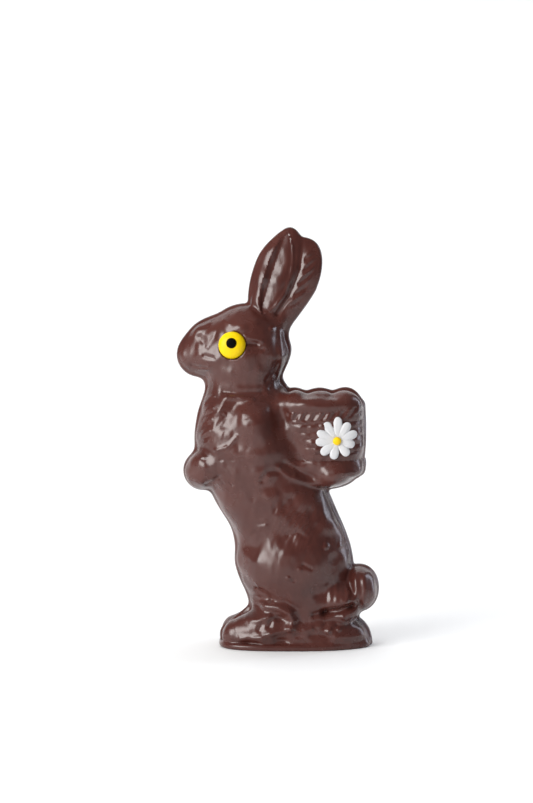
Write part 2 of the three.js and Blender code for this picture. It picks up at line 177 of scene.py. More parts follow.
def ear_form(x, y, z, ear):
    """A leaf: below its widest place an oval across the axis that narrows by a power law, and
    above it the half of an egg."""
    _, _, half, thick, widest, waist, fast, square = ear
    t, across, length = ear_place(x, z, ear)
    low = np.clip((widest - t) / widest, 0, 1)
    up = np.clip(t - widest, 0, None) * length
    leaf = oval((across, half * (1 - waist * low ** fast) + 0.2),
                (y, thick * (1.22 - 0.36 * np.clip(t, 0, 1)) + SEAM_WIDE),
                (up, (1 - widest) * length), power=square)
    return cut_back(leaf, -t * length, 4)


BASKET_FLOOR = (68.6, 8.0, 34.4, 12.6)      # height, front, back, half depth
BASKET_RIM = (100.8, -4.0, 35.0, 15.2)
BASKET_BULGE = 1.5                          # how far the side swells halfway up
ROLL = ((15.4, 14.8), 14.0, 97.6, 4.8, 2.6)   # the rim's roll: middle and half length, half
                                              # depth, height, rise towards the neck, radius
FLOOR_BAND = (7.4, 1.3)                     # the band round the floor: how tall, how far out


def basket_form(x, y, z):
    """Level ovals that widen from the floor to the rim, with a round band at the floor. The rim is
    a round roll along an oval that climbs to the neck."""
    tall = BASKET_RIM[0] - BASKET_FLOOR[0]
    t = (z - BASKET_FLOOR[0]) / tall
    share = np.clip(t, 0, 1)
    front, back, half = (BASKET_FLOOR[i] + (BASKET_RIM[i] - BASKET_FLOOR[i]) * share
                         for i in (1, 2, 3))
    up_floor = np.clip(t * tall / FLOOR_BAND[0], 0, 1)
    grow = (BASKET_BULGE * np.sin(np.pi * share)
            + FLOOR_BAND[1] * np.sqrt(up_floor * (1 - up_floor)) * 2)
    side = oval((x - (front + back) / 2, (back - front) / 2 + grow * 0.6),
                (y, half + grow + SEAM_WIDE), power=2.5)
    tub = cut_back(cut_back(side, z - BASKET_RIM[0] + 1.5, 2.4), -t * tall - 0.4, 3)
    (x0, long), deep, low, rise, thick = ROLL
    ring = oval((x - x0, long), (y, deep), power=2.5)
    middle = low + rise * np.clip(1 - np.abs(y) / deep, 0, 1) * np.clip((x0 - x) / 8, 0, 1)
    return blend_in(tub, np.hypot(ring, z - middle) - thick - SEAM_WIDE, 1.2)


# Swellings, each with its middle, half sizes and, where it isn't round, how square it is. Bars
# with round ends, each with its start, end and two radii. A middle's second number is how far it
# lies out from the plane where the mould parts.
SADDLE = ((19, 0, 69.4), (13, 14.5, 6.2))
EGGS = [((7.2, 7.2, 97.0), (6.0, 7.8, 7.3)), ((17.0, 7.4, 96.8), (7.8, 8, 7.5)),
        ((27.2, 6.8, 97.0), (7.0, 7.6, 7.5))]
EGG_WEB = ((16.4, 0, 95.6), (16.8, 7.4))    # the seam closes the gaps between the eggs
HAUNCH = ((5.4, 7.4, 34.2), (18.0, 12.8, 17.0), 2.15)
UPPER_ARM = ((-9.6, 10.2, 90.5), (-6, 10.4, 73), 10.2, 8.6)
FOREARM = ((-5, 9.2, 73.6), (-27.6, 6.4, 73.2), 8.2, 7.8)
PAW = ((-30, 2.8, 70.9), (7.8, 8.4, 7.9))
TAIL = ((33.0, 2.5, 23.2), (8.0, 10.6, 9.6), 2.1)
RUMP = ((25.4, 4, 18), (9.6, 12.6, 9.6))
FOOT = ((-15.6, 6.0, 5.0), (-3, 6.6, 8.6), 7.5, 10.4)
FOOT_OUTLINE = ((-17.8, 0, 4.2), (-5, 0, 9), 5.5, 10.2)     # its profile where the mould parts
GROUND_FRONT = -15.0                        # the patch of ground, from here
GROUND_BACK = 38.4                          # to here along X
GROUND_HALF = 15.6                          # half its depth
GROUND_TALL = 12.0
GROUND_SLOPE = ((38.0, 8.4), (0.8, 0.6))    # it slopes down under the tail: a point, the way
                                            # the slope faces
LEDGE = ((6.9, 30.4), (16.8, 4.6), 2.5)     # thin foot: middle and half length, half depth and
                                            # how much less at the tail, height


def ground_form(x, y, z):
    """A low patch: a plan whose third powers add up to one, shallower towards the tail, rounded
    over at its height."""
    middle, along = (GROUND_FRONT + GROUND_BACK) / 2, (GROUND_BACK - GROUND_FRONT) / 2
    half = GROUND_HALF + SEAM_WIDE - 3.5 * np.clip((x - middle) / along, 0, 1) ** 2
    plan = (np.abs((x - middle) / along) ** 3 + np.abs(y / half) ** 3) ** (1 / 3)
    patch = cut_back((plan - 1) * GROUND_HALF, z - GROUND_TALL, 6)
    (x0, z0), (nx, nz) = GROUND_SLOPE
    return cut_back(patch, (x - x0) * nx + (z - z0) * nz, 5)


def ledge_form(x, y, z):
    """The thin foot that the casting stands on: an oval plan, a little squared, that grows
    shallower towards the tail."""
    (middle, along), (deep, taper), tall = LEDGE
    half = deep - taper * np.clip((x - middle) / along, 0, 1) ** 2
    plan = (np.abs((x - middle) / along) ** 3 + np.abs(y / half) ** 3) ** (1 / 3)
    return cut_back((plan - 1) * deep, z - tall, 1.2)


def figure(x, y, z):
    """All forms joined, each with its own fillet, before the seam is added."""
    d = blend_in(body_form(x, y, z), head_form(x, y, z), 5)
    d = blend_in(d, ear_form(x, y, z, EAR_FAR), 4)
    near = cut_back(ear_form(x, y, z, EAR_NEAR),
                    (x - TIP_CUT[0][0]) * TIP_CUT[1][0] + (z - TIP_CUT[0][1]) * TIP_CUT[1][1], 2.5)
    d = blend_in(d, near, 1.6)
    d = blend_in(d, swelling(x, y, z, *HAUNCH), 3.4)
    d = blend_in(d, limb(x, y, z, *UPPER_ARM), 2)
    d = blend_in(d, limb(x, y, z, *FOREARM), 2.4)
    d = blend_in(d, swelling(x, y, z, *PAW), 3)
    d = blend_in(d, basket_form(x, y, z), 5)
    d = blend_in(d, swelling(x, y, z, *SADDLE), 2)
    for (x0, y0, z0), (along, deep, up) in EGGS:
        egg = oval((x - x0, along), (np.abs(y) - y0, deep), (z - z0, up))
        d = blend_in(d, egg, 2.4)
    d = blend_in(d, swelling(x, y, z, *RUMP), 5)
    d = blend_in(d, swelling(x, y, z, *TAIL), 1.2)
    d = blend_in(d, ground_form(x, y, z), 1.6)
    return blend_in(d, limb(x, y, z, *FOOT), 2)


def outline(x, z):
    """The figure where the mould parts, with the profiles of the foot and the eggs and a web
    between the eggs."""
    d = blend_in(figure(x, 0 * x, z), limb(x, 0 * x, z, *FOOT_OUTLINE), 2)
    for (x0, _, z0), (along, _, up) in EGGS:
        d = blend_in(d, oval((x - x0, along), (z - z0, up)), 1.5)
    (x0, _, z0), (along, up) = EGG_WEB
    return blend_in(d, oval((x - x0, along), (z - z0, up), power=4), 1.5)


def stroke(x, z, path, wide, high):
    """A line drawn with a round tool along a path of points: high times the bell curve of the
    distance to the nearest stretch of the path over wide; below zero it is a groove."""
    nearest = 1e9
    for (x0, z0), (x1, z1) in zip(path, path[1:]):
        dx, dz = x1 - x0, z1 - z0
        t = np.clip(((x - x0) * dx + (z - z0) * dz) / (dx * dx + dz * dz), 0, 1)
        nearest = np.minimum(nearest, (x - x0 - t * dx) ** 2 + (z - z0 - t * dz) ** 2)
    return high * np.exp(-nearest / wide ** 2)


def lump(x, z, x0, z0, half_x, half_z, high):
    """A round swelling of the flank, or a dent: high times one less the squared share of the way
    to its edge, squared."""
    k = ((x - x0) / half_x) ** 2 + ((z - z0) / half_z) ** 2
    return high * np.clip(1 - k, 0, None) ** 2


HEAD_STROKES = [                            # path, width, height
    ([(-12.8, 122.3), (-8.4, 122.2)], 1.3, -1.1),                       # corner of the eye
    ([(-12.6, 125.2), (-6.4, 123.6)], 0.9, 0.5),
    ([(-10.8, 119.8), (-6.0, 120.2)], 0.8, -0.35),
    ([(-21.4, 132.0), (-19.2, 130.4)], 0.9, 0.35),                      # over the brow
    ([(-31.0, 125.0), (-28.0, 127.6), (-25.6, 131.0)], 1.2, -0.45),     # folds of the cheek
    ([(-27.6, 121.0), (-25.4, 124.4), (-24.4, 127.6)], 1.0, 0.3),
    ([(-29.0, 117.4), (-25.6, 116.6)], 1.0, -0.35),
    ([(-34.2, 113.6), (-31.2, 113.0), (-28.4, 112.9)], 0.6, -0.5),      # mouth
    ([(-31.4, 111.9), (-28.6, 111.7)], 0.6, 0.4),
    ([(0.8, 127.2), (1.8, 122.0), (1.4, 115.0), (0.6, 108.0)], 0.9, 0.5),   # nape
    ([(-1.0, 124.5), (-0.4, 117.0), (-1.2, 110.0)], 1.1, -0.5),
    ([(0.0, 114.4), (-4.6, 107.4)], 0.8, -0.6),
    ([(-0.6, 109.6), (-3.2, 104.6)], 0.7, -0.5),
    ([(-21.0, 103.2), (-14.0, 102.6), (-6.4, 102.8)], 1.4, -0.7),       # under the jaw
]
HEAD_LUMPS = [                              # middle, half sizes, height
    (-16.0, 129.4, 5.6, 4.4, 1.0),              # brow
    (-29.8, 124.0, 2.4, 2.4, -0.3),             # side of the nose
    (-31.0, 118.0, 2.0, 1.6, 0.25),
    (-2.0, 128.2, 2.0, 1.6, 1.0),               # behind the ear's root
    (-9.6, 132.0, 4.0, 3.4, 0.5),
    (-31.0, 121.0, 2.2, 2.6, 0.3),
]
CHEST_STROKES = [
    ([(-19.8, 101.2), (-14.6, 101.2), (-9.8, 100.4)], 1.0, 0.5),                # collar
    ([(-21.4, 101.0), (-22.4, 97.4), (-24.4, 94.0), (-25.8, 88.0)], 1.4, 0.35),  # ruff
    ([(-16.6, 99.0), (-19.8, 95.0), (-21.2, 90.0)], 1.8, -0.45),
    ([(-24.4, 80.2), (-19.6, 81.8), (-16.2, 85.8)], 0.8, 0.45),                 # top of forearm
    ([(-28.4, 66.2), (-25.6, 67.4), (-23.4, 69.2)], 1.1, -1.0),                 # under the paw
    ([(-6.4, 68.6), (-4.0, 71.8), (1.6, 72.6), (5.4, 70.6)], 1.3, -0.8),        # behind elbow
    ([(0.6, 73.2), (7.2, 69.0), (15.0, 66.2), (20.6, 65.0)], 1.2, 1.0),         # strap
    ([(3.0, 74.8), (8.6, 71.6), (14.0, 69.6)], 1.2, -0.6),
    ([(-22.2, 67.8), (-21.4, 66.8)], 0.5, -0.35),
    ([(-18.8, 67.4), (-17.8, 66.4)], 0.5, -0.35),
]
CHEST_LUMPS = [
    (-21.0, 94.6, 1.2, 1.0, 0.3), (-13.6, 95.6, 3.4, 2.8, 0.5),
    (-29.4, 77.4, 2.0, 1.2, 0.35), (-22.2, 76.6, 1.6, 1.2, -0.25), (-18.0, 76.6, 1.6, 1.2, -0.25),
    (-7.2, 67.6, 2.0, 2.6, 0.35), (24.0, 68.8, 9.2, 7.6, 3.4),
]
TORSO_LUMPS = [                             # soft folds of the coat, back and side
    (-2.2, 62.4, 4.4, 3.8, 0.35), (5.0, 63.8, 3.4, 3.0, 0.35), (9.2, 59.4, 3.4, 4.4, 0.4),
    (0.2, 54.0, 5.0, 3.6, 0.3), (9.0, 51.6, 4.0, 4.4, 0.3), (2.8, 58.0, 2.2, 3.6, -0.35),
    (13.4, 56.4, 2.6, 4.4, -0.4), (-1.2, 57.4, 1.6, 3.4, -0.25), (15.4, 49.4, 3.4, 3.0, -0.35),
    (18.6, 56.6, 2.4, 4.0, 0.4), (-9.6, 62.4, 3.2, 3.8, -0.25), (-14.4, 62.6, 3.0, 2.4, 0.2),
    (19.4, 42.0, 1.8, 2.0, 0.6), (25.2, 41.6, 1.6, 2.4, 0.6), (22.4, 36.8, 3.0, 3.4, -0.5),
    (-5.6, 52.4, 2.2, 1.5, 0.25),
]
HAUNCH_STROKES = [
    ([(-7.4, 49.2), (-5.0, 50.2)], 1.2, 0.4),                                  # above the thigh
    ([(-8.4, 47.8), (-10.8, 45.6), (-12.4, 42.0), (-12.0, 35.6)], 1.1, -0.3),   # edge of thigh
    ([(-8.6, 27.0), (-7.4, 25.0)], 0.6, 0.5),
    ([(-8.2, 24.2), (-4.6, 22.6), (-2.4, 20.8)], 1.2, -0.9),                    # slit over foot
    ([(4.4, 47.0), (8.0, 47.6), (11.0, 45.6)], 1.2, -0.4),                      # over the knee
    ([(10.4, 35.0), (13.2, 33.4)], 0.8, -0.35),
]
HAUNCH_LUMPS = [
    (-10.0, 41.0, 2.8, 6.6, -0.45),             # hollow in front of the thigh
    (-2.6, 46.4, 6.0, 4.0, 0.15),
    (4.2, 29.6, 1.7, 1.5, 0.5), (6.4, 28.8, 1.3, 1.3, -0.35),
    (8.8, 33.0, 1.5, 1.5, 0.4), (1.2, 36.0, 4.0, 6.0, -0.15), (15.0, 24.8, 5.0, 4.6, -0.4),
]
HEM_STROKES = [                             # undercut below the coat
    ([(14.6, 14.4), (19.4, 15.2)], 1.3, -1.2),
    ([(19.0, 15.0), (24.6, 16.0), (29.6, 17.6)], 1.7, -3.0),
    ([(29.6, 17.6), (32.4, 18.8)], 1.3, -1.0),
]
FOOT_STROKES = [
    ([(-5.4, 17.8), (0.8, 17.0), (4.6, 15.2), (6.0, 12.0), (4.8, 9.4)], 1.6, 1.5),      # heel
    ([(-8.6, 20.4), (-3.0, 20.6), (3.6, 19.6), (8.2, 16.6), (9.4, 11.6)], 1.5, -0.7),
    ([(6.0, 9.0), (-1.0, 7.6), (-6.2, 5.8), (-14.6, 4.4)], 1.4, 0.9),           # edge of sole
    ([(-12.4, 12.4), (-7.4, 12.2), (-3.6, 13.6)], 1.4, 0.7),                    # toes
    ([(-6.4, 10.6), (-7.4, 8.4)], 1.0, -0.6),
    ([(-2.4, 12.0), (-3.4, 9.6)], 1.0, -0.6),
]
GROUND_STROKES = [
    ([(20.2, 7.4), (21.0, 10.0), (23.8, 11.0), (26.6, 10.4)], 1.1, 0.8),
    ([(26.6, 12.8), (27.8, 10.8), (30.2, 10.6)], 1.0, 0.7),
    ([(11.0, 8.8), (13.2, 9.2)], 1.2, 0.6),
    ([(23.6, 5.0), (33.4, 5.2)], 1.5, 0.8),
    ([(13.6, 6.4), (19.4, 6.2)], 1.4, -0.6),
]
GROUND_LUMPS = [
    (16.4, 10.2, 2.6, 2.0, 0.5), (8.4, 6.2, 2.6, 1.8, -0.5), (2.0, 4.2, 3.6, 1.6, -0.5),
    (24.6, 8.6, 1.6, 1.4, 0.5), (0.8, 12.8, 3.0, 2.2, -0.9), (-6.6, 3.6, 6.4, 3.0, 1.3),
]
TAIL_LOCKS = [                              # x, from height, to height, width
    (31.4, 18.5, 29.5, 1.3), (35.0, 19, 29.0, 1.3), (28.0, 19.5, 26.5, 1.0)]
RUFF_LOCKS = 9
HEM_FOLDS = 5


def flank_relief(x, z):
    """How far the carving stands out from the flank, in millimetres along Y."""
    r = 0 * x + 0 * z
    for mark in (HEAD_STROKES + CHEST_STROKES + HAUNCH_STROKES + HEM_STROKES + FOOT_STROKES
                 + GROUND_STROKES):
        r = r + stroke(x, z, *mark)
    for mark in HEAD_LUMPS + CHEST_LUMPS + TORSO_LUMPS + HAUNCH_LUMPS + GROUND_LUMPS:
        r = r + lump(x, z, *mark)
    for i in range(RUFF_LOCKS):             # small locks down the front of the ruff
        top = (-25.4 - 0.3 * i, 101.6 - 2.3 * i)
        r = r + stroke(x, z, [top, (top[0] - 2.2, top[1] - 1.0), (top[0] - 3.6, top[1] - 2.8)],
                       0.6, 0.3 * (-1) ** i)
    for i in range(HEM_FOLDS):              # folds at the hem of the coat, over the heel
        r = r + stroke(x, z, [(20.0 + 2.4 * i, 25.8 + 0.4 * i), (19.6 + 2.5 * i, 18.4 + 0.7 * i)],
                       0.9, -0.22)
    for at, low, high, wide in TAIL_LOCKS:
        r = r + stroke(x, z, [(at - 0.4, high), (at, (low + high) / 2), (at - 0.6, low)], wide, 0.8)
    return r + ear_relief(x, z) + basket_relief(x, z) + brushed_coat(x, z)


BRUSH_PITCH = 1.9           # from one stroke to the next
BRUSH_HIGH = 0.05
BRUSHED = [(8.0, 52.0, 15.0, 17.0, 1.0), (-24.0, 92.0, 7.0, 12.0, 0.8)]     # back, ruff


def brushed_coat(x, z):
    """Fine slanting strokes of fur on the back and on the ruff: waves across the strokes whose
    phase wanders along them, strongest in the middle of each patch."""
    across = 0.86 * x - 0.5 * z
    along = 0.5 * x + 0.86 * z
    patch = sum(lump(x, z, *place) for place in BRUSHED)
    swing = 1.6 * np.sin(0.31 * along) + 1.1 * np.sin(0.17 * along + 0.5 * across)
    return BRUSH_HIGH * np.sin(2 * np.pi * across / BRUSH_PITCH + swing) * patch


HOLLOW = ((-5.6, 134.6), (4.0, 166.2))      # the near ear's hollow, from and to
HOLLOW_WIDE = 5.0                           # half its width at the widest
EARS_PART = [(10.0, 162.6), (8.9, 151.6), (4.6, 141.0), (-0.2, 134.0)]    # groove between ears
LOCK_PITCH = 3.7
LOCK_HIGH = 0.45
LOCKS_FROM = [(134, 1.0), (141, 5.8), (151.6, 10.0), (162.6, 11.0)]     # height, x of first lock
FAR_TIP = (12.8, 158.4, 2.2, 4.6, 0.7)      # swelling below the far ear's tip


def ear_relief(x, z):
    """The hollow of the near ear and slanting locks on the far one. Across the hollow, u runs
    from -1 at its soft front lip to 1 at its sharp back lip: the floor falls fast from the front
    lip, climbs to the middle of the hollow and then runs out slowly to the back lip."""
    t, across, length = ear_place(x, z, HOLLOW)
    share = np.clip(t, 0.002, 0.998)
    wide = HOLLOW_WIDE * np.sin(np.pi * share ** 0.85) ** 0.55
    u = (across - 1.0 * np.sin(np.pi * share)) / wide
    ends = np.clip(1 - np.clip(np.abs(t - 0.5) - 0.5, 0, 1) * length / 1.2, 0, 1)
    climb = cut_back(1.15 - 2.5 * u, 0.75 * (1 - u), 0.6)
    deep = blend_in(5.0 * (1 + u), climb, 0.6)
    bowl = -np.clip(deep, 0, None) * (wide / HOLLOW_WIDE) ** 0.8 * ends
    lips = 0.35 * np.exp(-((u - 1.05) / 0.17) ** 2) + 0.3 * np.exp(-((u + 1.25) / 0.36) ** 2)
    part = stroke(x, z, EARS_PART, 0.9, -1.3)
    t, across, length = ear_place(x, z, EAR_FAR)
    edge = np.interp(z, *zip(*LOCKS_FROM))
    behind = np.clip((x - edge) / 1.2, 0, 1) * np.clip((6.6 - across) / 1.4, 0, 1)
    behind = behind * np.clip((t - 0.4) / 0.1, 0, 1) * np.clip((0.92 - t) / 0.06, 0, 1)
    slant = z - 0.75 * x - 0.02 * (x - 12) ** 2
    locks = LOCK_HIGH * np.sin(2 * np.pi * slant / LOCK_PITCH) * behind
    return bowl + lips * ends + locks + part + lump(x, z, *FAR_TIP)


ROW_PITCH = 3.1             # from one woven row to the next
STAKE_PITCH = 4.4           # from one stake to the next
ROPE_PITCH = 3.6            # one turn of the twisted strand
ROW_HIGH = 0.36
ROPE_HIGH = 0.3
STRAND_TALL = 3.6
ROLL_ENDS = 95.4            # height of the lower side of the rim's roll


def basket_relief(x, z):
    """Woven rows between the rim and the floor band: each row swells and sinks over the stakes,
    out of step with the row below; under the rim runs a twisted strand."""
    under_rim = ROLL_ENDS + 0.01 * np.clip(x - 16, 0, None) ** 2
    left = 13.8 - (z - 73.6) * 0.5
    inside = np.clip((x - left) / 2, 0, 1) * np.clip((z - 75.4 - 0.16 * (x - 16)) / 1, 0, 1)
    rows = inside * np.clip((under_rim - STRAND_TALL - z) / 0.8, 0, 1)
    row = (z - 0.06 * x) / ROW_PITCH
    over = np.cos(2 * np.pi * x / STAKE_PITCH + np.pi * np.floor(row))
    weave = ROW_HIGH * (np.abs(np.sin(np.pi * row)) * (1 + 0.45 * over) - 0.75) * rows
    strand = (np.clip((under_rim - z) / 0.5, 0, 1)
              * np.clip((z - under_rim + STRAND_TALL) / 0.6, 0, 1) * np.clip(x - left, 0, 1))
    return weave + ROPE_HIGH * np.sin(2 * np.pi * (x - 0.55 * z) / ROPE_PITCH) * strand


CAST_SEED = 7
rng = np.random.default_rng(CAST_SEED)      # each wave has a direction, a phase and a height
WAVES = [(rng.normal(size=3) * 2 * np.pi / length / 1.6, rng.uniform(0, 2 * np.pi), high)
         for length, high in [(16, 0.09)] * 8 + [(9, 0.05)] * 10 + [(5, 0.02)] * 12]


def hand_made(x, y, z):
    """The slight unevenness of cast chocolate: a sum of waves in random directions."""
    total = 0 * x + 0 * y + 0 * z
    for (kx, ky, kz), phase, high in WAVES:
        total = total + high * np.sin(kx * x + ky * y + kz * z + phase)
    return total


EYE_TURN = 0.12             # the eyes look a little forwards
EYE_LOW, EYE_HIGH = (np.array(c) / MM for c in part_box("eye_left"))
EYE_MIDDLE = (EYE_LOW + EYE_HIGH) / 2
EYE_R = (EYE_HIGH[2] - EYE_LOW[2]) / 2
EYE_BACK = -EYE_HIGH[1] + EYE_R * np.sin(EYE_TURN)      # how far out the middle of its back lies
EYE_GAP = 0.15


def eye_seat(x, side, z):
    """The dish for an eye: a short round bar along the eye's axis, open outwards."""
    across = (x - EYE_MIDDLE[0]) * np.cos(EYE_TURN) + (side - EYE_BACK) * np.sin(EYE_TURN)
    out = (side - EYE_BACK) * np.cos(EYE_TURN) - (x - EYE_MIDDLE[0]) * np.sin(EYE_TURN)
    return cut_back(np.hypot(across, z - EYE_MIDDLE[2]) - EYE_R - EYE_GAP, -out, 0.4)


CARVED_FROM = 1.5           # the carving starts this far from the middle plane, and is full
CARVED_OVER = 3             # this much further out


def chocolate(x, y, z):
    """The finished figure: the joined forms drawn in by the width of the seam and carved, joined
    to the flat seam that keeps the full outline, cut flat underneath and dished for the eyes."""
    side = np.abs(y)
    fade = np.clip((side - CARVED_FROM) / CARVED_OVER, 0, 1)
    carved = figure(x, side - flank_relief(x, z) * fade, z)
    body = carved + SEAM_WIDE - hand_made(x, y, z) * (0.2 + 0.8 * fade)
    seam = cut_back(outline(x, z), side - SEAM_HALF, 1.5)
    (x0, run_in), (x1, run_out), (z0, run_up), more = SEAM_SOFT
    soft = (np.clip((x - x0) / run_in, 0, 1) * np.clip((x1 - x) / run_out, 0, 1)
            * np.clip((z - z0) / run_up, 0, 1))
    d = blend_in(body, seam, SEAM_FILLET + more * soft)
    d = blend_in(cut_back(d, -eye_seat(x, side, z), 0.5), ledge_form(x, y, z), 0.8)
    return cut_back(d, -z, 0.8)


def skin(form, low, high, step):
    """The surface where a form is zero. The form is worked out on a block of points; each cell
    that the surface crosses gets one vertex, the mean of where it crosses the cell's edges, and
    each crossed edge gets a face between the four cells round it. The vertices then move along
    the form's slope until the form is zero there. The slopes are handed back as normals."""
    axes = [np.arange(l, h + s, s) for l, h, s in zip(low, high, step)]
    x, y, z = np.meshgrid(*axes, indexing="ij", sparse=True)
    f = form(x, y, z)
    inside = f < 0
    cells = tuple(n - 1 for n in f.shape)
    total = np.zeros(cells + (3,))
    count = np.zeros(cells)
    index = np.indices(cells).transpose(1, 2, 3, 0)
    corner = [slice(0, n) for n in cells]
    for axis in range(3):
        u, v = [a for a in range(3) if a != axis]
        for du in (0, 1):
            for dv in (0, 1):
                near = list(corner)
                near[u] = slice(du, cells[u] + du)
                near[v] = slice(dv, cells[v] + dv)
                far = list(near)
                far[axis] = slice(1, cells[axis] + 1)
                a, b = f[tuple(near)], f[tuple(far)]
                crossed = inside[tuple(near)] != inside[tuple(far)]
                where = np.where(crossed, a / np.where(crossed, a - b, 1), 0)
                total[..., axis] += where
                total[..., u] += crossed * du
                total[..., v] += crossed * dv
                count += crossed
    used = count > 0
    number = np.full(cells, -1)
    number[used] = np.arange(used.sum())
    place = index[used] + total[used] / count[used][:, None]
    verts = np.array(low) + place * np.array(step)
    faces = []
    for axis in range(3):
        u, v = (axis + 1) % 3, (axis + 2) % 3
        near = [slice(1, n - 1) for n in f.shape]
        near[axis] = slice(0, f.shape[axis] - 1)
        far = list(near)
        far[axis] = slice(1, f.shape[axis])
        a, b = inside[tuple(near)], inside[tuple(far)]
        spots = np.argwhere(a != b)
        out = a[tuple(spots.T)]
        spots[:, u] += 1
        spots[:, v] += 1
        ring = []
        for du, dv in ((-1, -1), (0, -1), (0, 0), (-1, 0)):
            cell = spots.copy()
            cell[:, u] += du
            cell[:, v] += dv
            ring.append(number[tuple(cell.T)])
        quad = np.stack(ring, axis=1)
        quad[~out] = quad[~out][:, ::-1]
        faces.append(quad)
    faces = np.concatenate(faces)
    small, longest = 0.02, 0.4
    for _ in range(3):
        x, y, z = verts.T
        here = form(x, y, z)
        slope = np.stack([form(x + small, y, z) - here, form(x, y + small, z) - here,
                          form(x, y, z + small) - here], axis=1) / small
        step_back = here / np.maximum((slope ** 2).sum(axis=1), 0.05)
        verts = verts - np.clip(step_back, -longest, longest)[:, None] * slope
    return verts, faces, slope / np.linalg.norm(slope, axis=1)[:, None]


def new_piece(name, verts, quads, material, ends=()):
    """A mesh object at the origin from arrays of vertices, in millimetres, of faces with four
    corners and, at its ends, of faces with three."""
    mesh = bpy.data.meshes.new(name)
    ends = np.asarray(ends, int).reshape(-1, 3)
    mesh.from_pydata((verts * MM).tolist(), [], quads.tolist() + ends.tolist())
    mesh.update()
    mesh.shade_smooth()
    mesh.materials.append(material)
    piece = bpy.data.objects.new(name, mesh)
    bpy.context.scene.collection.objects.link(piece)
    return piece


def new_material(name, colour, roughness):
    """A Principled material with its even values set on the shader's own sockets."""
    material = bpy.data.materials.new(name)
    material.use_nodes = True
    shader = material.node_tree.nodes["Principled BSDF"]
    shader.inputs["Base Color"].default_value = (*colour, 1)
    shader.inputs["Roughness"].default_value = roughness
    return material, material.node_tree, shader


def noise_bump(tree, shader, scale, detail, strength, distance, turn=0):
    """Fine unevenness: a noise on Object coordinates, turned about Y and scaled along each axis,
    made into a bump. Hands back the node of the coordinates."""
    place = tree.nodes.new("ShaderNodeTexCoord")
    stretch = tree.nodes.new("ShaderNodeMapping")
    stretch.inputs["Scale"].default_value = scale
    stretch.inputs["Rotation"].default_value = (0, turn, 0)
    noise = tree.nodes.new("ShaderNodeTexNoise")
    noise.inputs["Scale"].default_value = 1
    noise.inputs["Detail"].default_value = detail
    bump = tree.nodes.new("ShaderNodeBump")
    bump.inputs["Strength"].default_value = strength
    bump.inputs["Distance"].default_value = distance
    tree.links.new(place.outputs["Object"], stretch.inputs["Vector"])
    tree.links.new(stretch.outputs["Vector"], noise.inputs["Vector"])
    tree.links.new(noise.outputs["Fac"], bump.inputs["Height"])
    tree.links.new(bump.outputs["Normal"], shader.inputs["Normal"])
    return place


def ramp_between(tree, source, low, high, at=(0.35, 0.65)):
    """A colour ramp from one colour to another driven by a node's output."""
    ramp = tree.nodes.new("ShaderNodeValToRGB")
    for element, colour, position in zip(ramp.color_ramp.elements, (low, high), at):
        element.color = (*colour, 1)
        element.position = position
    tree.links.new(source, ramp.inputs["Fac"])
    return ramp


DARK_CHOCOLATE = (0.062, 0.0172, 0.0132)
LIGHT_CHOCOLATE = (0.08, 0.0238, 0.018)
SHINY, DULL = 0.19, 0.34    # least and greatest roughness

chocolate_finish, tree, shader = new_material("dark_chocolate", DARK_CHOCOLATE, SHINY)
shader.inputs["IOR"].default_value = 1.5
place = noise_bump(tree, shader, scale=(900, 700, 260), detail=3, strength=0.16, distance=0.0002,
                   turn=0.6)                # grain of the brushed coat
tone = tree.nodes.new("ShaderNodeTexNoise")
tone.inputs["Scale"].default_value = 90
tone.inputs["Detail"].default_value = 4
tree.links.new(place.outputs["Object"], tone.inputs["Vector"])
colours = ramp_between(tree, tone.outputs["Fac"], DARK_CHOCOLATE, LIGHT_CHOCOLATE)
tree.links.new(colours.outputs["Color"], shader.inputs["Base Color"])
gloss = tree.nodes.new("ShaderNodeMapRange")
gloss.inputs["To Min"].default_value = SHINY
gloss.inputs["To Max"].default_value = DULL
tree.links.new(tone.outputs["Fac"], gloss.inputs["Value"])
tree.links.new(gloss.outputs["Result"], shader.inputs["Roughness"])

GRID_LOW = (-43, -25.8, -2.16)
GRID_HIGH = (43, 25.8, 171)
GRID_STEP = (0.545, 0.87, 0.545)
verts, faces, upright = skin(chocolate, GRID_LOW, GRID_HIGH, GRID_STEP)
bunny = new_piece("moulded_bunny", verts, faces, chocolate_finish)
bunny.data.normals_split_custom_set_from_vertices(upright.tolist())
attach(bunny, "root")
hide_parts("bunny")


# ---------------------------------------------------------------------------------------------
# Sugar eyes: bought decorations of pressed sugar, a domed yellow disc with a raised black
# pupil, stuck into the sockets with a dab of chocolate.
# ---------------------------------------------------------------------------------------------

def turned(profile, around, middle, side, turn):
    """A body of revolution: a profile of (radius, height) pairs carried round the axis that
    points out of the flank, turned a little about the upright. side is -1 on the left flank."""
    profile = np.asarray(profile)
    angle = np.linspace(0, 2 * np.pi, around, endpoint=False)[:, None]
    u = profile[:, 0] * np.cos(angle)
    w = profile[:, 0] * np.sin(angle)
    out = profile[:, 1] + 0 * angle
    x = u * np.cos(turn) - out * np.sin(turn)
    y = u * np.sin(turn) + out * np.cos(turn)
    return np.stack([middle[0] + x, side * (middle[1] + y), middle[2] + w], axis=-1)


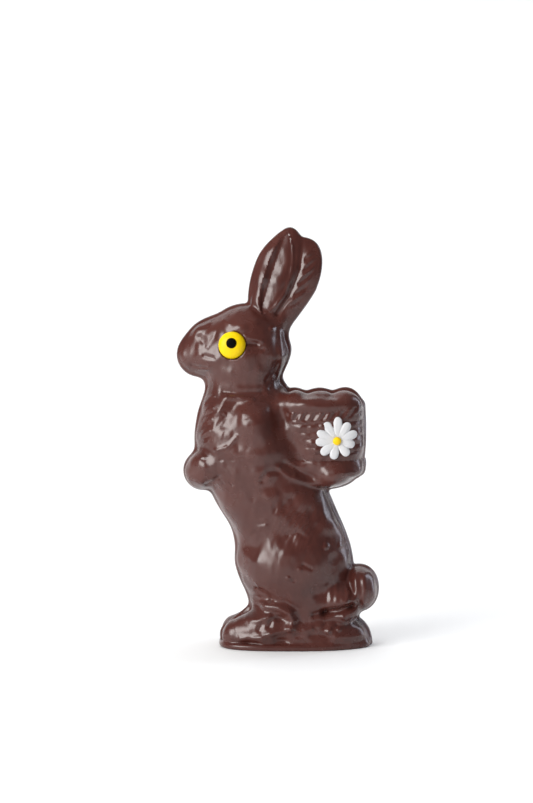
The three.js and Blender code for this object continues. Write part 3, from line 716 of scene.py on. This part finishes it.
def closed_skin(grid, flip, start=0):
    """Vertices, quads and end triangles of a grid that runs round its first axis and whose first
    and last columns are one point each; flip turns the faces over, start is the first number."""
    around, along = grid.shape[0], grid.shape[1] - 2
    verts = np.concatenate([grid[:1, 0], grid[:, 1:-1].reshape(-1, 3), grid[:1, -1]])
    a = 1 + np.arange(around) * along
    b = np.roll(a, -1)
    j = np.arange(along - 1)
    quads = np.stack([a[:, None] + j, b[:, None] + j, b[:, None] + j + 1, a[:, None] + j + 1],
                     axis=-1).reshape(-1, 4)
    ends = np.concatenate([np.stack([0 * a, b, a], axis=-1),
                           np.stack([a + along - 1, b + along - 1, 0 * a + len(verts) - 1],
                                    axis=-1)])
    if flip:
        quads, ends = quads[:, ::-1], ends[:, ::-1]
    return verts, quads + start, ends + start


def round_piece(name, profile, around, middle, side, turn, material):
    """A closed turned piece whose profile starts and ends on the axis."""
    verts, quads, ends = closed_skin(turned(profile, around, middle, side, turn), side > 0)
    return new_piece(name, verts, quads, material, ends)


def button_profile(r, back, tall, power, steps):
    """A domed disc with a flat back: at the angle a of a quarter turn the radius is r times the
    cosine and the height is tall times the sine, both to the power of two over `power`."""
    flat = np.stack([np.linspace(0, r, steps // 3, endpoint=False),
                     np.full(steps // 3, float(back))], axis=1)
    a = np.linspace(0, np.pi / 2, steps)
    dome = np.stack([r * np.cos(a) ** (2 / power), back + tall * np.sin(a) ** (2 / power)], axis=1)
    dome[-1, 0] = 0
    return np.concatenate([flat, dome])


YELLOW = (0.82, 0.57, 0.0006)
BLACK = (0.002, 0.002, 0.002)
eye_finish, tree, shader = new_material("yellow_sugar", YELLOW, 0.42)
shader.inputs["Specular IOR Level"].default_value = 0.22
noise_bump(tree, shader, scale=(500, 500, 500), detail=2, strength=0.05, distance=0.0002)
shader.inputs["Subsurface Weight"].default_value = 0.1
shader.inputs["Subsurface Radius"].default_value = (0.001, 0.0008, 0.0003)
pupil_finish, tree, shader = new_material("black_sugar", BLACK, 0.5)
shader.inputs["Specular IOR Level"].default_value = 0.04
noise_bump(tree, shader, scale=(500, 500, 500), detail=2, strength=0.05, distance=0.0002)

EYE_TALL = 3.9
PUPIL_R = 2.15
PUPIL_TALL = 1.2
EYE_ROOT = np.array([EYE_MIDDLE[0], EYE_BACK, EYE_MIDDLE[2]])      # along X, out and up
PUPIL_ROOT = EYE_ROOT + (-0.2, 3.3, 0.9)                           # it looks a little upwards

for side, word in ((-1, "left"), (1, "right")):
    eye = round_piece("sugar_eye_" + word,
                      button_profile(EYE_R, back=0.1, tall=EYE_TALL, power=2.7, steps=30),
                      around=72, middle=EYE_ROOT, side=side, turn=EYE_TURN, material=eye_finish)
    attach(eye, "root")
    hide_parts("eye_" + word)
    pupil = round_piece("sugar_pupil_" + word,
                        button_profile(PUPIL_R, back=0, tall=PUPIL_TALL, power=3.2, steps=20),
                        around=48, middle=PUPIL_ROOT, side=side, turn=EYE_TURN,
                        material=pupil_finish)
    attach(pupil, "root")
    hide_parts("pupil_" + word)


# ---------------------------------------------------------------------------------------------
# Icing daisies: ten petals piped in white royal icing with a yellow dot, dried and stuck on
# the side of the basket with chocolate. Each petal is a drop that is widest near its tip.
# ---------------------------------------------------------------------------------------------

PETAL_TIPS = [(2, 9.6), (34, 8.7), (68, 8.6), (103, 7.2), (142, 7.3), (192, 7.4), (230, 8.2),
              (267, 8.5), (294, 8.7), (328, 9.3)]      # degrees clockwise from the top, reach
PETAL_WIDE = 3.6
PETAL_THICK = 1.7
BACK_BEND = 0.036           # the back petals bend after the basket: this times the square of the
BEND_FROM = 2.0             # way along X past this far from the flower's middle
DOT_R = 1.65
DOT_TALL = 1.4
DOT_RAISED = 0.5            # how far above the middle of the petals' thickness its back lies
PETAL_GAP = 0.1


def petal(angle, reach, wide, thick):
    """A drop: along its length t its half width is half of wide times the square root of
    1 - (2t - 1) to the power of four, narrowed towards the middle of the flower. Its section is
    an oval with a soft crease along the top, and it rises with the square of t."""
    t = (1 - np.cos(np.linspace(0, np.pi, 25)))[:, None] / 2
    a = np.linspace(0, 2 * np.pi, 28, endpoint=False)
    girth = np.sqrt(np.clip(1 - (2 * t - 1) ** 4, 0, 1)) * (0.45 + 0.55 * np.clip(t * 1.7, 0, 1))
    across = girth * wide / 2 * np.cos(a)
    crease = 0.12 * np.exp(-(across / 0.5) ** 2) * np.sin(np.pi * t)
    up = girth * thick / 2 * np.sin(a) - np.where(np.sin(a) > 0, crease, 0) + 0.25 * t * t
    along = 0.6 + (reach - 0.6) * t
    c, s = np.cos(np.radians(angle)), np.sin(np.radians(angle))
    return along * s + across * c, up, along * c - across * s


WHITE = (0.62, 0.62, 0.635)
DOT_YELLOW = (0.86, 0.56, 0.002)
icing_finish, tree, shader = new_material("white_royal_icing", WHITE, 0.62)
noise_bump(tree, shader, scale=(1400, 1400, 1400), detail=3, strength=0.2, distance=0.0002)
shader.inputs["Subsurface Weight"].default_value = 0.25
shader.inputs["Subsurface Radius"].default_value = (0.001, 0.001, 0.001)
dot_finish, tree, shader = new_material("yellow_royal_icing", DOT_YELLOW, 0.55)
shader.inputs["Specular IOR Level"].default_value = 0.3
noise_bump(tree, shader, scale=(1400, 1400, 1400), detail=3, strength=0.2, distance=0.0002)

for side, word in ((-1, "left"), (1, "right")):
    low, high = (np.array(c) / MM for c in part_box("daisy_middle_" + word))
    heart = ((low[0] + high[0]) / 2, (low[2] + high[2]) / 2)
    low, high = (np.array(c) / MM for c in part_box("daisy_petals_" + word))
    out = min(abs(low[1]), abs(high[1])) + PETAL_THICK / 2 + PETAL_GAP
    skins, start = [], 0
    for angle, reach in PETAL_TIPS:
        x, up, z = petal(angle, reach, PETAL_WIDE, PETAL_THICK)
        up = up - BACK_BEND * np.clip(x - BEND_FROM, 0, None) ** 2
        grid = np.stack([heart[0] + x, side * (out + up), heart[1] + z], axis=-1)
        skins.append(closed_skin(grid.transpose(1, 0, 2), side < 0, start))
        start += len(skins[-1][0])
    verts, quads, ends = (np.concatenate(arrays) for arrays in zip(*skins))
    petals = new_piece("icing_petals_" + word, verts, quads, icing_finish, ends)
    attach(petals, "root")
    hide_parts("daisy_petals_" + word)
    dot = round_piece("icing_dot_" + word,
                      button_profile(DOT_R, back=0, tall=DOT_TALL, power=2.3, steps=18),
                      around=40, middle=(heart[0], out + DOT_RAISED, heart[1]), side=side, turn=0,
                      material=dot_finish)
    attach(dot, "root")
    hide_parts("daisy_middle_" + word)


# ---------------------------------------------------------------------------------------------
# The set: pale paper in two sheets that lies flat and runs up behind, a soft window in front on
# the left, a cool strip behind on the right, a wide light overhead that leaves no shine, and a
# camera that looks down on the bunny by a few degrees.
# ---------------------------------------------------------------------------------------------

floor_finish, tree, shader = new_material("pale_paper", (0.86, 0.86, 0.86), 0.9)
FLOOR_FRONT = -0.72
BEND_FROM_Y = 0.55
BEND_R = 0.3
BACKDROP_TALL = 1.6
bend = np.linspace(0, np.pi / 2, 16)
path_y = np.concatenate([[FLOOR_FRONT], BEND_FROM_Y + BEND_R * np.sin(bend),
                         [BEND_FROM_Y + BEND_R]])
path_z = np.concatenate([[0], BEND_R - BEND_R * np.cos(bend), [BACKDROP_TALL]])
FLOOR_SHEETS = (("pale_floor", -1.5, 0.5), ("pale_floor_right", 0.5, 1.5))     # from x, to x
for name, left, right in FLOOR_SHEETS:
    u = np.linspace(left, right, 5)[:, None]
    grid = np.stack([u + 0 * path_y, 0 * u + path_y, 0 * u + path_z], axis=-1) / MM
    rows, cols = grid.shape[:2]
    i, j = np.arange(rows - 1)[:, None], np.arange(cols - 1)
    a = i * cols + j
    quads = np.stack([a, a + cols, a + cols + 1, a + 1], axis=-1).reshape(-1, 4)
    floor = new_piece(name, grid.reshape(-1, 3), quads, floor_finish)
    floor.visible_glossy = right < 1    # the right sheet leaves no shine on the chocolate


def soft_light(name, place, target, size, power, colour):
    """A rectangular area light that faces a point."""
    data = bpy.data.lights.new(name, "AREA")
    data.shape = "RECTANGLE"
    data.size, data.size_y = size
    data.energy = power
    data.color = colour
    light = bpy.data.objects.new(name, data)
    bpy.context.scene.collection.objects.link(light)
    light.location = place
    aim = np.subtract(target, place)
    light.rotation_euler = (np.arctan2(np.hypot(aim[0], aim[1]), -aim[2]), 0,
                            np.arctan2(aim[1], aim[0]) - np.pi / 2)
    return light


HEART = (0, 0, 0.09)
soft_light("window", place=(-0.86, -0.77, 0.43), target=HEART, size=(0.75, 0.62), power=15.5,
           colour=(1, 0.99, 0.97))
soft_light("cool_strip", place=(0.78, 0.4, 0.36), target=HEART, size=(0.16, 0.8), power=2.4,
           colour=(0.8, 0.86, 1))
overhead = soft_light("overhead", place=(0, 0.1, 1.5), target=HEART, size=(1.6, 1.6), power=21,
                      colour=(1, 1, 1))
overhead.visible_glossy = False

world = bpy.data.worlds.new("room")
bpy.context.scene.world = world
world.use_nodes = True
world.node_tree.nodes["Background"].inputs["Color"].default_value = (0.9, 0.95, 1, 1)
world.node_tree.nodes["Background"].inputs["Strength"].default_value = 0.15

CAMERA_AWAY = 0.85
CAMERA_RISE = 4.0            # degrees above the level
SENSOR_TALL = 36
view = bpy.data.cameras.new("camera")
camera = bpy.data.objects.new("camera", view)
bpy.context.scene.collection.objects.link(camera)
rise = np.radians(CAMERA_RISE)
aim = (-0.0044, 0.0, 0.0986)    # the point in the middle of the picture
camera.location = (aim[0], -CAMERA_AWAY * np.cos(rise), aim[2] + CAMERA_AWAY * np.sin(rise))
camera.rotation_euler = (np.pi / 2 - rise, 0, 0)
view.sensor_fit = "VERTICAL"
view.sensor_height = SENSOR_TALL
PHOTO_TALL = 803            # pixels
PIXEL_SPAN = 0.4024         # millimetres at the bunny
FRAME_TALL = PHOTO_TALL * PIXEL_SPAN * MM
view.lens = SENSOR_TALL * CAMERA_AWAY / FRAME_TALL
bpy.context.scene.camera = camera
bpy.context.scene.view_settings.view_transform = "Standard"
